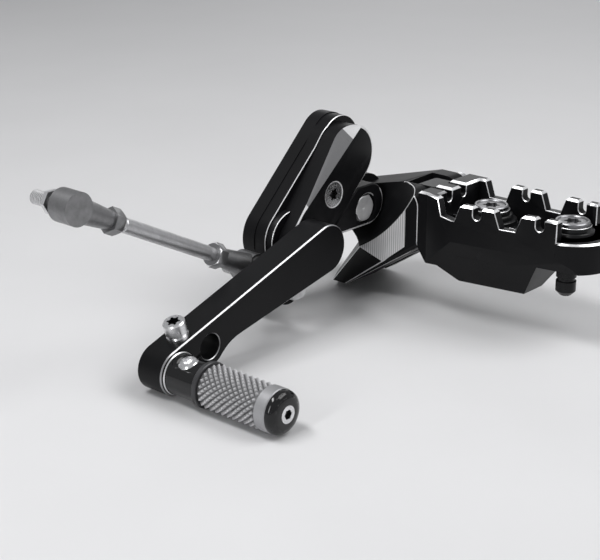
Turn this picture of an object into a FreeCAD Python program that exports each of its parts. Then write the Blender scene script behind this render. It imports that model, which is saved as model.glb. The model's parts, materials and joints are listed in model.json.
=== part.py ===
import FreeCAD, Part
import math
import os

# Motorcycle rearset, gear-shift side: bracket, lever carrier, shift lever, shift rod and folding foot peg.
# Axes: +Z up, -Y outward from the motorcycle, -X forward. Millimetres and degrees.
# The origin is midway between the two frame bolts, on the bracket's back face.

# Frame bolts
bolt_spacing = 53.8
bolt_angle = 29.8
bolt_d = 8.0
bolt_reach = 18.0
bolt_waist_d = 7.2
bolt_thread_in = 0.05
bolt_flange_d = 14.0
bolt_flange_t = 1.5
bolt_hex = 12.0
bolt_hex_h = 5.0
pad_r = 10.5
seat_rise = 3.5
lobe_r = 9.9
lobe_out = 3.4
lobe_run = 26.0
lobe_rise = 7.5
lobe_bore_d = 14.6
bolt_dish = 0.8

# Stack of plates, from the frame outward
bracket_t = 12.5
carrier_t = 6.5
cover_t = 10.5
thrust_washer_t = 1.0
lever_t = 14.0

# Lever pivot and the upper arm of the plates
pivot_x = -21.35
pivot_z = 7.65
upper_angle = 44.5
upper_len = 53.0
upper_low_r = 13.5
upper_top_r = 12.5
cover_low_off = -2.0
cover_low_r = 11.0
cover_top_at = 48.7
cover_top_off = -1.0
cover_top_r = 14.3
carrier_margin = 0.8
bracket_margin = 1.2
bracket_relief = 5.5
cover_screw_at = 27.7
cover_screw_off = -2.3
facet_low_at = 11.4
facet_low_off = 9.05
facet_high_at = 56.7
facet_high_off = 4.9
facet_slope = 21.0
plate_chamfer = 0.6

# Pivot shaft and bushes
shaft_d = 12.0
shaft_in_lever = 11.0
bush_wall = 1.5
bush_flange_gap = 0.5
retain_washer_d = 20.0
retain_washer_t = 2.0
retain_pocket_d = 24.0
thrust_washer_d = 17.0
m6_d = 6.0
m6_head_d = 10.0
m6_head_h = 4.0

# Shift lever
lever_len = 99.2
lever_drop_angle = 17.2
lever_pivot_r = 11.3
lever_toe_r = 10.0
lever_waist_at = 37.0
lever_waist = 5.2
second_hole_at = 19.7
second_hole_d = 11.4
second_hole_wall = 3.4
lever_chamfer = 0.5
clamp_slit = 1.5
clamp_washer_d = 9.6
clamp_washer_t = 1.4
clamp_collar_d = 8.0
clamp_collar_h = 1.6
clamp_head_d = 9.6
clamp_head_h = 5.3
clamp_depth = 14.0
clamp_outward = 1.2

# Toe peg, lengths along its own axis
toe_shank_d = 10.0
toe_flange_d = 18.6
toe_flange_t = 1.2
toe_holder_d = 17.4
toe_holder_len = 17.0
holder_screw_at = 8.6
holder_screw_d = 8.6
holder_screw_depth = 3.2
holder_screw_proud = 0.3
toe_spindle_d = 8.0
toe_collar_d = 19.8
toe_collar_len = 2.3
grip_d = 19.2
grip_depth = 1.3
grip_len = 31.1
grip_rows = 20
grip_round = 20
toe_ring_d = 18.8
toe_ring_len = 6.0
toe_cap_d = 18.4
toe_cap_len = 4.0
toe_cap_crown = 1.6
toe_screw_d = 5.0
toe_screw_head_d = 7.4
toe_screw_head_h = 1.8
toe_screw_len = 9.0

# Shift rod and its ball joints
ball_d = 10.0
ball_from_pivot = 26.0
ball_inboard = 10.2
ball_neck_d = 5.0
stud_hex = 9.0
stud_hex_h = 2.0
stud_thread = 9.0
rod_len = 116.0
rod_rise_angle = 27.0
rod_d = 6.5
socket_d = 14.0
socket_face = 3.4
socket_back = 7.0
barrel_root_d = 12.0
barrel_end_d = 8.2
barrel_len = 23.0
rod_in_barrel = 11.0
jam_hex = 10.0
jam_h = 5.0
rod_thread_out = 3.0
boot_len = 3.6
boot_wall = 1.2
front_stud_reach = 9.0

# Peg bracket arm and clevis
arm_x = 24.65
arm_w = 39.6
ear_front_t = 12.0
ear_rear_t = 8.0
arm_web_front = 22.0
arm_web_rear = 8.0
arm_wall = 6.0
arm_deck = 8.0
arm_low_z = -28.6
arm_low_reach = 16.5
arm_root_z = 9.65
arm_root_r = 13.0
arm_fall = 12.0
ear_low_y = -52.3
ear_low_z = -4.85
ear_tip_z = 0.15
hinge_y = -51.8
hinge_z = 19.2
ear_r = 7.4
hinge_d = 8.0
hinge_thread_d = 5.0
hinge_thread_len = 4.4
hinge_head_d = 13.0
hinge_head_h = 4.5
slot_gap = 0.6
scoop_y = 14.2
scoop_z = 63.95
scoop_edge_r = 81.0
scoop_tube_r = 34.0
scoop_stand = 18.0
facet_y = -24.9
facet_z = -7.15
facet_run_y = -14.2
facet_run_z = -4.3
facet_tilt = 3.0
flank_run_y = 15.5
flank_run_z = -19.55
flank_tilt = 65.0
sole_h = 2.2
sole_tilt = 45.0

# Return spring of the foot peg
spring_wire = 1.5
spring_turns = 2
spring_pitch = 1.9

# Foot peg
peg_neck_len = 5.0
peg_front_x = 18.45
peg_front_at = 23.0
peg_nose_x = 45.25
peg_nose_at = 69.5
peg_nose_r = 19.2
peg_wall = 4.6
peg_top_z = 27.65
peg_bevel_z = 9.65
peg_bevel_slope = 30.0
peg_floor_z = -4.0
peg_keel_z = -13.35
peg_end_low_z = 0.65
peg_heel_z = -6.35
peg_nose_low_z = 4.15
peg_heel_at = 5.0
peg_heel_end = 10.5
peg_keel_at = 19.5
peg_keel_end = 52.0
peg_nose_low_at = 63.0
peg_boss_top = 15.15
peg_boss_r = 12.6
peg_stud_at = 29.0
peg_spine_w = 9.0
valley_floor = 19.65
valley_slope = 3.2
valley_1_at = 15.5
valley_1_w = 9.0
valley_2_at = 46.5
valley_2_w = 7.5
notch_w = 4.0
notch_floor = 21.85
notch_1_at = 35.5
notch_2_at = 65.3
shelf_at = 73.2
shelf_z = 18.15
inner_notches = 2
inner_notch_pitch = 11.0
disc_d = 24.0
disc_step_d = 20.0
disc_neck_d = 17.2
disc_step_h = 2.2
grip_screw_head_d = 15.6
grip_screw_head_h = 2.4
grip_screw_rim = 1.2
grip_screw_len = 9.5
feeler_d = 9.0
feeler_off = 11.5
feeler_angle = 205.0
feeler_neck_d = 7.6
feeler_len = 11.5
feeler_groove = 1.6
feeler_thread_d = 6.0
feeler_thread_len = 6.0

# Clearances
bolt_clear = 0.3
seat_clear = 0.04
run_clear = 0.05
face_gap = 0.1
stop_gap = 0.3
side_gap = 0.4

V = FreeCAD.Vector
OUTWARD = V(0, -1, 0)
INWARD = V(0, 1, 0)
UP = V(0, 0, 1)
REARWARD = V(1, 0, 0)
TOLERANCE = 1e-4


def polar(centre, radius, angle):
    """A point of the XZ plane at a distance and an angle from another."""
    a = math.radians(angle)
    return (centre[0] + radius * math.cos(a), centre[1] + radius * math.sin(a))


# Places worked out from the sizes above
bolt_1 = polar((0, 0), bolt_spacing / 2, bolt_angle)
bolt_2 = polar((0, 0), bolt_spacing / 2, bolt_angle + 180)
pivot = (pivot_x, pivot_z)
upper_end = polar(pivot, upper_len, upper_angle)
lobe_end = polar(bolt_1, lobe_out, bolt_angle)
lever_angle = 180 + lever_drop_angle
toe = polar(pivot, lever_len, lever_angle)
ball_rear = polar(pivot, ball_from_pivot, lever_angle)
rod_angle = 180 - rod_rise_angle
ball_front = polar(ball_rear, rod_len, rod_angle)

y_bracket = -bracket_t
y_carrier = y_bracket - carrier_t
y_seat = y_carrier - seat_rise
y_lobe = y_seat - lobe_rise
y_cover = y_carrier - cover_t
y_lever_in = y_cover - thrust_washer_t - 2 * face_gap
y_lever_out = y_lever_in - lever_t
y_clamp = (y_lever_in + y_lever_out) / 2 - clamp_outward
y_ball = y_lever_in + ball_inboard
ear_end = hinge_y - ear_r
peg_inner = ear_end - stop_gap
arm_top = hinge_z + ear_r
arm_far_x = arm_x + arm_w
clevis_x = arm_x + ear_front_t
clevis_w = arm_w - ear_front_t - ear_rear_t
slot_back = hinge_y + ear_r + slot_gap
spring_len = spring_pitch * spring_turns + spring_wire
tongue_w = clevis_w - spring_len - face_gap - 2 * side_gap
nose_y = peg_inner - peg_nose_at
stud_x = (peg_front_x + arm_far_x) / 2
stud_y = peg_inner - peg_stud_at
cutter_x = peg_front_x - peg_wall
cutter_w = arm_far_x - peg_front_x + 2 * peg_wall


def at(point, y):
    """A point of the XZ plane, set at a depth along Y."""
    return V(point[0], y, point[1])


def on_upper(along, across):
    """A point along the upper arm from the pivot, and across it toward the leading edge."""
    return polar(polar(pivot, along, upper_angle), across, upper_angle + 90)


def bar(point, y_from, y_to, diameter):
    """A round bar along Y."""
    return Part.makeCylinder(diameter / 2, y_to - y_from, at(point, y_from), INWARD)


def placed(shape, origin, direction):
    """A shape made along +Z from its own origin, turned to a direction and moved to a place."""
    shape.Placement = FreeCAD.Placement(origin, FreeCAD.Rotation(UP, direction))
    return shape


def turned(profile):
    """A solid of revolution about Z from (radius, height) corners."""
    corners = [V(r, 0, z) for r, z in profile]
    return Part.Face(Part.makePolygon(corners + corners[:1])).revolve(V(0, 0, 0), UP, 360)


def hexagon(across_flats, height, z=0.0):
    """A hexagonal prism along Z."""
    r = across_flats / math.sqrt(3)
    corners = [V(*polar((0, 0), r, 60 * i), z) for i in range(7)]
    return Part.Face(Part.makePolygon(corners)).extrude(V(0, 0, height))


def hex_head(across_flats, height, z=0.0):
    """A hexagon whose far corners are turned off at thirty degrees."""
    r = across_flats / math.sqrt(3)
    drop = (r - across_flats / 2) * math.tan(math.radians(30))
    top = z + height
    cone = turned([(0, z), (r, z), (r, top - drop), (across_flats / 2, top), (0, top)])
    return hexagon(across_flats, height, z).common(cone)


def six_lobe(diameter, depth, top):
    """The cutter for a six-lobed drive, sunk from a height."""
    base = V(0, 0, top - depth)
    cutter = Part.makeCylinder(diameter * 0.36, depth, base)
    lobes = []
    for i in range(6):
        x, y = polar((0, 0), diameter * 0.4, 60 * i)
        lobes.append(Part.makeCylinder(diameter * 0.1, depth, V(x, y, top - depth)))
    return cutter.fuse(lobes)


def capsule(low, low_r, high, high_r):
    """A face in the XZ plane: two circles joined by their outer tangents."""
    dx, dz = high[0] - low[0], high[1] - low[1]
    along = math.degrees(math.atan2(dz, dx))
    lean = math.degrees(math.acos((low_r - high_r) / math.hypot(dx, dz)))
    left_low, left_high = at(polar(low, low_r, along + lean), 0), at(polar(high, high_r, along + lean), 0)
    right_low, right_high = at(polar(low, low_r, along - lean), 0), at(polar(high, high_r, along - lean), 0)
    far_high, far_low = at(polar(high, high_r, along), 0), at(polar(low, low_r, along + 180), 0)
    edges = [
        Part.LineSegment(left_low, left_high).toShape(),
        Part.Arc(left_high, far_high, right_high).toShape(),
        Part.LineSegment(right_high, right_low).toShape(),
        Part.Arc(right_low, far_low, left_low).toShape(),
    ]
    return Part.Face(Part.Wire(edges))


def slab(face, y_from, y_to):
    """A plate from a face of the XZ plane."""
    return face.translated(V(0, y_from, 0)).extrude(V(0, y_to - y_from, 0))


def rim_edges(shape, y):
    """The edges of a plate that lie in its face at a depth."""
    return [e for e in shape.Edges if all(abs(p.y - y) < TOLERANCE for p in e.discretize(4))]


def wedge(start, run, side, depth_dir, slope, reach):
    """A wedge that pares a face away beside a line, deeper with the distance from the line."""
    corner = start - run * reach
    far = corner + side * reach
    sunk = far + depth_dir * (reach * math.tan(math.radians(slope)))
    return Part.Face(Part.makePolygon([corner, far, sunk, corner])).extrude(run * (2 * reach))


def peg_bracket():
    """Back plate, gusset arm and clevis, milled from one block."""
    low_r = upper_low_r + bracket_margin
    plate = slab(capsule(pivot, low_r, upper_end, upper_top_r + bracket_margin), -bracket_relief, y_bracket)
    arm_root = (arm_x + arm_w / 2, arm_root_z)
    foot_r = pad_r + bracket_margin
    plate = plate.fuse(slab(capsule(bolt_1, foot_r, bolt_2, foot_r), 0, y_bracket))
    plate = plate.fuse(slab(capsule(arm_root, arm_root_r, bolt_1, foot_r), 0, y_bracket))
    side = [
        V(arm_x, 0, arm_low_z),
        V(arm_x, -arm_low_reach, arm_low_z),
        V(arm_x, ear_low_y, ear_low_z),
        V(arm_x, ear_end, ear_tip_z),
        V(arm_x, ear_end, hinge_z),
        V(arm_x, hinge_y, arm_top),
        V(arm_x, 0, arm_top),
    ]
    round_mid = V(arm_x, hinge_y - ear_r * math.sqrt(0.5), hinge_z + ear_r * math.sqrt(0.5))
    edges = [Part.LineSegment(a, b).toShape() for a, b in zip(side, side[1:] + side[:1])]
    edges[4] = Part.Arc(side[4], round_mid, side[5]).toShape()
    arm = Part.Face(Part.Wire(edges)).extrude(V(arm_w, 0, 0))
    height = arm_top - arm_low_z
    slot = Part.makeBox(clevis_w, slot_back - ear_end, height, V(clevis_x, ear_end, arm_low_z))
    pocket_w = arm_w - arm_web_front - arm_web_rear
    pocket_len = y_bracket - slot_back - arm_wall
    pocket_at = V(arm_x + arm_web_front, slot_back + arm_wall, arm_low_z)
    pocket = Part.makeBox(pocket_w, pocket_len, height - arm_deck - arm_fall, pocket_at)
    scoop_major = scoop_edge_r - math.sqrt(scoop_tube_r ** 2 - scoop_stand ** 2)
    scoop = Part.makeTorus(scoop_major, scoop_tube_r, V(arm_x - scoop_stand, scoop_y, scoop_z), REARWARD)
    fall = [V(clevis_x, slot_back, arm_top), V(clevis_x, 0, arm_top), V(clevis_x, 0, arm_top - arm_fall)]
    fall = Part.Face(Part.makePolygon(fall + fall[:1])).extrude(V(arm_w, 0, 0))
    run = V(0, facet_run_y, facet_run_z).normalize()
    pared = wedge(V(arm_x, facet_y, facet_z), run, REARWARD.cross(run), REARWARD, facet_tilt, 2 * height)
    down = V(0, flank_run_y, flank_run_z).normalize()
    flank_start = V(arm_x, facet_y, facet_z) + down * 2 * height
    flank = wedge(flank_start, down, -run, REARWARD, flank_tilt, 2 * height)
    rise = (side[2] - side[1]).normalize()
    sole = wedge(side[1] + UP * sole_h, rise, REARWARD.cross(rise), REARWARD, sole_tilt, 2 * height)
    arm = arm.cut([slot, pocket, scoop, pared, fall, flank, sole])
    body = plate.fuse(arm).removeSplitter()
    holes = [bar(p, y_bracket, 0, bolt_d + 2 * bolt_clear) for p in (bolt_1, bolt_2)]
    holes.append(bar(pivot, y_bracket, 0, retain_pocket_d))
    rear_ear = V(arm_far_x - ear_rear_t, hinge_y, hinge_z)
    holes.append(Part.makeCylinder(hinge_d / 2 + seat_clear, ear_rear_t, rear_ear, REARWARD))
    thread_at = V(clevis_x - hinge_thread_len, hinge_y, hinge_z)
    holes.append(Part.makeCylinder(hinge_thread_d / 2 + seat_clear, hinge_thread_len, thread_at, REARWARD))
    return body.cut(holes)


def hinge_bolt():
    """Shoulder bolt that carries the peg, headed at the rear ear and screwed into the front one."""
    grip = arm_far_x - clevis_x
    profile = [
        (0, -hinge_thread_len),
        (hinge_thread_d / 2, -hinge_thread_len),
        (hinge_thread_d / 2, 0),
        (hinge_d / 2, 0),
        (hinge_d / 2, grip),
        (hinge_head_d / 2, grip),
        (hinge_head_d / 2, grip + hinge_head_h),
        (0, grip + hinge_head_h),
    ]
    drive = hexagon(hinge_thread_d, hinge_head_h, grip + hinge_head_h / 2)
    return placed(turned(profile).cut(drive), V(clevis_x, hinge_y, hinge_z), REARWARD)


def peg_spring():
    """Return spring round the hinge bolt, in the clevis beside the peg's tongue."""
    radius = hinge_d / 2 + side_gap + spring_wire / 2
    helix = Part.makeHelix(spring_pitch, spring_pitch * spring_turns, radius)
    wire = Part.Wire(helix.Edges)
    ring = Part.Wire(Part.makeCircle(spring_wire / 2, V(radius, 0, 0), INWARD))
    coil = wire.makePipeShell([ring], True, True)
    start = clevis_x + clevis_w - face_gap - spring_len + spring_wire / 2
    return placed(coil, V(start, hinge_y, hinge_z), REARWARD)


def cover_face(margin):
    """Outline of the cover plate, widened all round by a margin."""
    low, high = on_upper(0, cover_low_off), on_upper(cover_top_at, cover_top_off)
    return capsule(low, cover_low_r + margin, high, cover_top_r + margin)


def lever_carrier():
    """Plate that carries the lever's pivot, with raised seats for both frame bolts."""
    low_r = upper_low_r + carrier_margin
    body = slab(capsule(pivot, low_r, upper_end, upper_top_r + carrier_margin), y_bracket, y_carrier)
    body = body.fuse(slab(cover_face(carrier_margin), y_bracket, y_carrier))
    for bolt in (bolt_1, bolt_2):
        body = body.fuse(slab(capsule(pivot, low_r, bolt, pad_r), y_bracket, y_carrier))
    lobe_start = (lobe_end[0] - lobe_run, lobe_end[1])
    lobe = slab(capsule(lobe_start, lobe_r, lobe_end, lobe_r), y_bracket, y_lobe)
    lobe = lobe.makeChamfer(plate_chamfer, rim_edges(lobe, y_lobe))
    lobe = lobe.cut(bar(bolt_1, y_lobe, y_seat, lobe_bore_d))
    pads = slab(capsule(pivot, upper_low_r, bolt_2, pad_r), y_carrier, y_seat).fuse(lobe)
    body = body.fuse(pads.cut(slab(cover_face(stop_gap), y_carrier, y_lobe))).removeSplitter()
    holes = [bar(p, y_seat, y_bracket, bolt_d + 2 * bolt_clear) for p in (bolt_1, bolt_2)]
    holes.append(bar(pivot, y_carrier, y_bracket, shaft_d + 2 * bush_wall + 2 * seat_clear))
    holes.append(bar(on_upper(cover_screw_at, cover_screw_off), y_carrier, y_bracket, m6_d + 2 * seat_clear))
    return body.cut(holes)


def cover_plate():
    """Outer plate with a polished facet that narrows down its leading edge."""
    body = slab(cover_face(0), y_carrier, y_cover)
    body = body.makeChamfer(plate_chamfer, rim_edges(body, y_cover))
    low_edge = at(on_upper(facet_low_at, facet_low_off), y_cover)
    high_edge = at(on_upper(facet_high_at, facet_high_off), y_cover)
    run = (high_edge - low_edge).normalize()
    facet = wedge(low_edge, run, run.cross(INWARD), INWARD, facet_slope, upper_len + cover_top_r)
    holes = [bar(pivot, y_cover, y_carrier, shaft_d + 2 * bush_wall + 2 * seat_clear)]
    screw_place = on_upper(cover_screw_at, cover_screw_off)
    holes.append(bar(screw_place, y_cover, y_carrier, m6_d + 2 * bolt_clear))
    sink_r = m6_d * 0.98
    sink = turned([(0, 0), (sink_r, 0), (m6_d / 2, -(sink_r - m6_d / 2)), (0, -(sink_r - m6_d / 2))])
    holes.append(placed(sink, at(screw_place, y_cover), OUTWARD))
    return body.cut([facet] + holes)


def cover_screw():
    """Countersunk six-lobe screw that holds the cover plate on the carrier."""
    r = m6_d * 0.98 - face_gap
    depth = r - m6_d / 2
    end = -(cover_t + carrier_t - 1)
    profile = [(0, -face_gap), (r, -face_gap), (m6_d / 2, -depth - face_gap), (m6_d / 2, end), (0, end)]
    screw = turned(profile).cut(six_lobe(m6_d * 0.95, 2.2, -face_gap))
    return placed(screw, at(on_upper(cover_screw_at, cover_screw_off), y_cover), OUTWARD)


def frame_bolts():
    """Two flanged hexagon bolts, slim in the plates, whose threads stand out of the back face."""
    bolts = []
    for place in (bolt_1, bolt_2):
        shank = bolt_reach - y_seat
        through = -bolt_thread_in - y_seat
        profile = [
            (0, -shank),
            (bolt_d / 2 - 1, -shank),
            (bolt_d / 2, -shank + 1),
            (bolt_d / 2, -through),
            (bolt_waist_d / 2, -through),
            (bolt_waist_d / 2, 0),
            (bolt_flange_d / 2, 0),
            (bolt_flange_d / 2, bolt_flange_t * 0.6),
            (bolt_hex * 0.6, bolt_flange_t),
            (0, bolt_flange_t),
        ]
        bolt = turned(profile).fuse(hex_head(bolt_hex, bolt_hex_h, bolt_flange_t)).removeSplitter()
        top = bolt_flange_t + bolt_hex_h
        dish = turned([(0, top - bolt_dish), (bolt_hex * 0.42, top), (0, top)])
        bolts.append(placed(bolt.cut(dish), at(place, y_seat), OUTWARD))
    return Part.makeCompound(bolts)


def pivot_bush(y_from, y_to):
    """Plain bearing bush pressed into one plate."""
    outer = bar(pivot, y_from, y_to, shaft_d + 2 * bush_wall)
    return outer.cut(bar(pivot, y_from, y_to, shaft_d + 2 * run_clear))


def pivot_shaft():
    """Shaft pressed into the lever from behind, drilled for the retaining screw."""
    y_end = y_bracket + stop_gap
    shaft = bar(pivot, y_lever_in - shaft_in_lever, y_end, shaft_d)
    return shaft.cut(bar(pivot, y_end - 3 * m6_d, y_end, m6_d + 2 * seat_clear))


def washer(point, y_from, thickness, diameter, bore):
    """Flat washer on an axis along Y."""
    return bar(point, y_from, y_from + thickness, diameter).cut(bar(point, y_from, y_from + thickness, bore))


def retaining_screw():
    """Button-headed screw in the inner end of the pivot shaft."""
    length = 2.6 * m6_d + retain_washer_t
    profile = [
        (0, -length),
        (m6_d / 2, -length),
        (m6_d / 2, 0),
        (m6_head_d / 2, 0),
        (m6_head_d / 2, m6_head_h * 0.4),
        (m6_head_d * 0.32, m6_head_h),
        (0, m6_head_h),
    ]
    screw = turned(profile).cut(hexagon(m6_d * 0.66, m6_head_h, m6_head_h * 0.4))
    return placed(screw, at(pivot, y_bracket + stop_gap + retain_washer_t), INWARD)


def on_lever(u, v, y=0.0):
    """A point given along the lever from the toe axis to the pivot, and across it, upward."""
    foot = polar(toe, u, lever_angle - 180)
    return at(polar(foot, v, lever_angle - 90), y)


def spoke(centre, radius, angle):
    """A point of a circle in the lever's own plane, at an angle in radians."""
    return centre + V(math.cos(angle), math.sin(angle), 0) * radius


def between(centre, radius, a, b):
    """The middle of the shorter arc between two points of a circle."""
    return centre + (a + b - centre * 2).normalize() * radius


def lever_lean():
    """Angle of the lever's top face, square to it, from the lever's axis."""
    return math.acos((lever_toe_r - lever_pivot_r) / lever_len)


def lever_face():
    """Outline of the lever: tangent lines and arcs, straight on top and waisted below."""
    boss_r = second_hole_d / 2 + second_hole_wall
    tip, boss, eye = V(0, 0, 0), V(second_hole_at, 0, 0), V(lever_len, 0, 0)
    waist = V(lever_waist_at, -lever_waist, 0)
    toe_top, eye_top = spoke(tip, lever_toe_r, lever_lean()), spoke(eye, lever_pivot_r, lever_lean())
    low = -math.acos((lever_toe_r - boss_r) / second_hole_at)
    boss_low, toe_low = spoke(boss, boss_r, low), spoke(tip, lever_toe_r, low)
    reach = eye - waist
    lean = math.atan2(reach.y, reach.x) - math.asin(lever_pivot_r / reach.Length)
    touch = spoke(waist, math.sqrt(reach.Length ** 2 - lever_pivot_r ** 2), lean)
    under = V(math.sin(lean), -math.cos(lean), 0)
    gap = waist - boss
    waist_r = (gap.dot(gap) - boss_r ** 2) / (2 * (boss_r - under.dot(gap)))
    centre = waist + under * waist_r
    meet = boss + (centre - boss).normalize() * boss_r
    path = [
        (toe_top, eye_top),
        (eye_top, eye + V(lever_pivot_r, 0, 0), touch),
        (touch, waist),
        (waist, between(centre, waist_r, waist, meet), meet),
        (meet, between(boss, boss_r, meet, boss_low), boss_low),
        (boss_low, toe_low),
        (toe_low, V(-lever_toe_r, 0, 0), toe_top),
    ]
    edges = []
    for points in path:
        points = [on_lever(p.x, p.y) for p in points]
        curve = Part.LineSegment(*points) if len(points) == 2 else Part.Arc(*points)
        edges.append(curve.toShape())
    return Part.Face(Part.Wire(edges))


def clamp_place():
    """Where the clamp bolt enters the lever's top face, between the two toe-peg holes."""
    along = (toe_shank_d / 2 + second_hole_at - second_hole_d / 2) / 2
    top = (lever_toe_r - along * math.cos(lever_lean())) / math.sin(lever_lean())
    return along, top


def lever_normal():
    """The direction square to the lever's length, upward."""
    return (on_lever(0, 1) - on_lever(0, 0)).normalize()


def top_normal():
    """The direction square to the lever's tapered top face, upward."""
    foot = spoke(V(0, 0, 0), 1, lever_lean())
    return (on_lever(foot.x, foot.y) - on_lever(0, 0)).normalize()


def shift_lever():
    """Lever with the pivot at one end and two clamped toe-peg holes at the other."""
    body = slab(lever_face(), y_lever_in, y_lever_out)
    body = body.makeChamfer(lever_chamfer, rim_edges(body, y_lever_out) + rim_edges(body, y_lever_in))
    toe_hole = (on_lever(0, 0).x, on_lever(0, 0).z)
    second_hole = (on_lever(second_hole_at, 0).x, on_lever(second_hole_at, 0).z)
    cuts = [bar(toe_hole, y_lever_out, y_lever_in, toe_shank_d + 2 * seat_clear)]
    cuts.append(bar(second_hole, y_lever_out, y_lever_in, second_hole_d))
    cuts.append(bar(pivot, y_lever_in - shaft_in_lever, y_lever_in, shaft_d + 2 * seat_clear))
    cuts.append(bar(ball_rear, y_lever_in - stud_thread, y_lever_in, m6_d + 2 * seat_clear))
    slit = [on_lever(0, -clamp_slit / 2), on_lever(second_hole_at, -clamp_slit / 2)]
    slit += [on_lever(second_hole_at, clamp_slit / 2), on_lever(0, clamp_slit / 2)]
    cuts.append(slab(Part.Face(Part.makePolygon(slit + slit[:1])), y_lever_in, y_lever_out))
    along, top = clamp_place()
    drill = m6_d / 2 + seat_clear
    cuts.append(Part.makeCylinder(drill, clamp_depth, on_lever(along, top, y_clamp), -top_normal()))
    return body.cut(cuts)


def clamp_washer():
    """Washer under the clamp bolt, on the lever's top face."""
    along, top = clamp_place()
    r = clamp_washer_d / 2
    hole = m6_d / 2 + bolt_clear
    lift = 0.02
    profile = [(hole, lift), (r, lift), (r, clamp_washer_t), (hole, clamp_washer_t)]
    return placed(turned(profile), on_lever(along, top, y_clamp), top_normal())


def clamp_bolt():
    """Cap screw with a plain collar, which draws the slit together on the toe-peg shank."""
    along, top = clamp_place()
    head_at = clamp_washer_t + clamp_collar_h
    tip = -clamp_depth + 0.5
    profile = [
        (0, tip),
        (m6_d / 2, tip),
        (m6_d / 2, clamp_washer_t),
        (clamp_collar_d / 2, clamp_washer_t),
        (clamp_collar_d / 2, head_at),
        (clamp_head_d / 2, head_at),
        (clamp_head_d / 2, head_at + clamp_head_h - 0.6),
        (clamp_head_d / 2 - 0.6, head_at + clamp_head_h),
        (0, head_at + clamp_head_h),
    ]
    bolt = turned(profile).cut(six_lobe(m6_d, 3.0, head_at + clamp_head_h))
    return placed(bolt, on_lever(along, top, y_clamp), top_normal())


def toe_lengths():
    """Where each piece of the toe peg starts, measured outward from the lever's face."""
    collar = toe_holder_len
    grip = collar + toe_collar_len
    ring = grip + grip_len
    cap = ring + toe_ring_len
    return collar, grip, ring, cap


def toe_piece(profile):
    """A turned piece of the toe peg, with heights measured outward from the lever's face."""
    return placed(turned(profile), at(toe, y_lever_out), OUTWARD)


def toe_holder():
    """Holder with its shank in the lever and a spindle through the grip."""
    collar, grip, ring, cap = toe_lengths()
    r = toe_holder_d / 2
    profile = [
        (0, -lever_t + 1),
        (toe_shank_d / 2, -lever_t + 1),
        (toe_shank_d / 2, 0),
        (toe_flange_d / 2, 0),
        (toe_flange_d / 2, toe_flange_t - 0.4),
        (toe_flange_d / 2 - 0.4, toe_flange_t),
        (r, toe_flange_t),
        (r, toe_holder_len),
        (toe_spindle_d / 2, toe_holder_len),
        (toe_spindle_d / 2, cap),
        (0, cap),
    ]
    body = turned(profile)
    tap_len = toe_screw_len + 1
    tap = Part.makeCylinder(toe_screw_d / 2 + seat_clear, tap_len, V(0, 0, cap - tap_len))
    body = placed(body.cut(tap), at(toe, y_lever_out), OUTWARD)
    seat = at(toe, y_lever_out - holder_screw_at) + lever_normal() * (r - holder_screw_depth)
    pocket = Part.makeCylinder(holder_screw_d / 2 + seat_clear, 2 * holder_screw_depth, seat, lever_normal())
    return body.cut(pocket)


def holder_screw():
    """Polished screw let into the holder's upper side, with a shallow crown."""
    r = holder_screw_d / 2
    height = holder_screw_depth + holder_screw_proud
    profile = [(0, 0), (r, 0), (r, height - 1.0), (r * 0.82, height - 0.25), (r * 0.45, height), (0, height)]
    screw = turned(profile).cut(hexagon(r * 0.8, height, height - 1.6))
    seat = at(toe, y_lever_out - holder_screw_at) + lever_normal() * (toe_holder_d / 2 - holder_screw_depth)
    return placed(screw, seat, lever_normal())


def toe_sleeve(start, length, diameter, edge):
    """A plain ring on the toe peg's spindle, chamfered at both ends."""
    r = diameter / 2
    bore = toe_spindle_d / 2 + seat_clear
    end = start + length
    profile = [
        (bore, start),
        (r - edge, start),
        (r, start + edge),
        (r, end - edge),
        (r - edge, end),
        (bore, end),
    ]
    return toe_piece(profile)


def toe_grip():
    """Sleeve covered all round in rows of four-sided pyramids, set half a step apart from row to row."""
    root, tip = grip_d / 2 - grip_depth, grip_d / 2
    row_step = grip_len / grip_rows
    turn = 360.0 / grip_round

    def point(radius, column, row):
        x, y = polar((0, 0), radius, turn * column)
        return V(x, y, row_step * row)

    def triangle(a, b, c):
        return Part.Face(Part.makePolygon([a, b, c, a]))

    faces = []
    for row in range(grip_rows + 1):
        shift = 0.5 * (row % 2)
        for column in range(grip_round):
            left, right = point(root, column + shift, row), point(root, column + shift + 1, row)
            ahead = point(root, column + shift + 0.5, row + 1)
            behind = point(root, column + shift + 0.5, row - 1)
            peak = point(tip, column + shift + 0.5, row)
            if row == 0:
                faces.append(triangle(left, right, ahead))
            elif row == grip_rows:
                faces.append(triangle(right, left, behind))
            else:
                loop = [left, behind, right, ahead, left]
                faces += [triangle(a, b, peak) for a, b in zip(loop, loop[1:])]
    for row in (0, grip_rows):
        shift = 0.5 * (row % 2)
        ring = [point(root, column + shift, row) for column in range(grip_round + 1)]
        faces.append(Part.Face(Part.makePolygon(ring)))
    shell = Part.makeShell(faces)
    shell.sewShape()
    body = Part.makeSolid(shell)
    body = body.cut(Part.makeCylinder(toe_spindle_d / 2 + seat_clear, grip_len))
    start = toe_lengths()[1]
    return placed(body, at(toe, y_lever_out - start), OUTWARD)


def toe_cap():
    """Crowned end cap with a seat for its screw."""
    start = toe_lengths()[3]
    end = start + toe_cap_len
    r = toe_cap_d / 2
    hole = toe_screw_d / 2 + seat_clear
    seat = toe_screw_head_d / 2 + seat_clear
    profile = [
        (hole, start),
        (r, start),
        (r, end - toe_cap_crown - 0.8),
        (r - 1.2, end - toe_cap_crown * 0.55),
        (r - 3.4, end),
        (seat, end),
        (seat, end - toe_screw_head_h),
        (hole, end - toe_screw_head_h),
    ]
    return toe_piece(profile)


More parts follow.
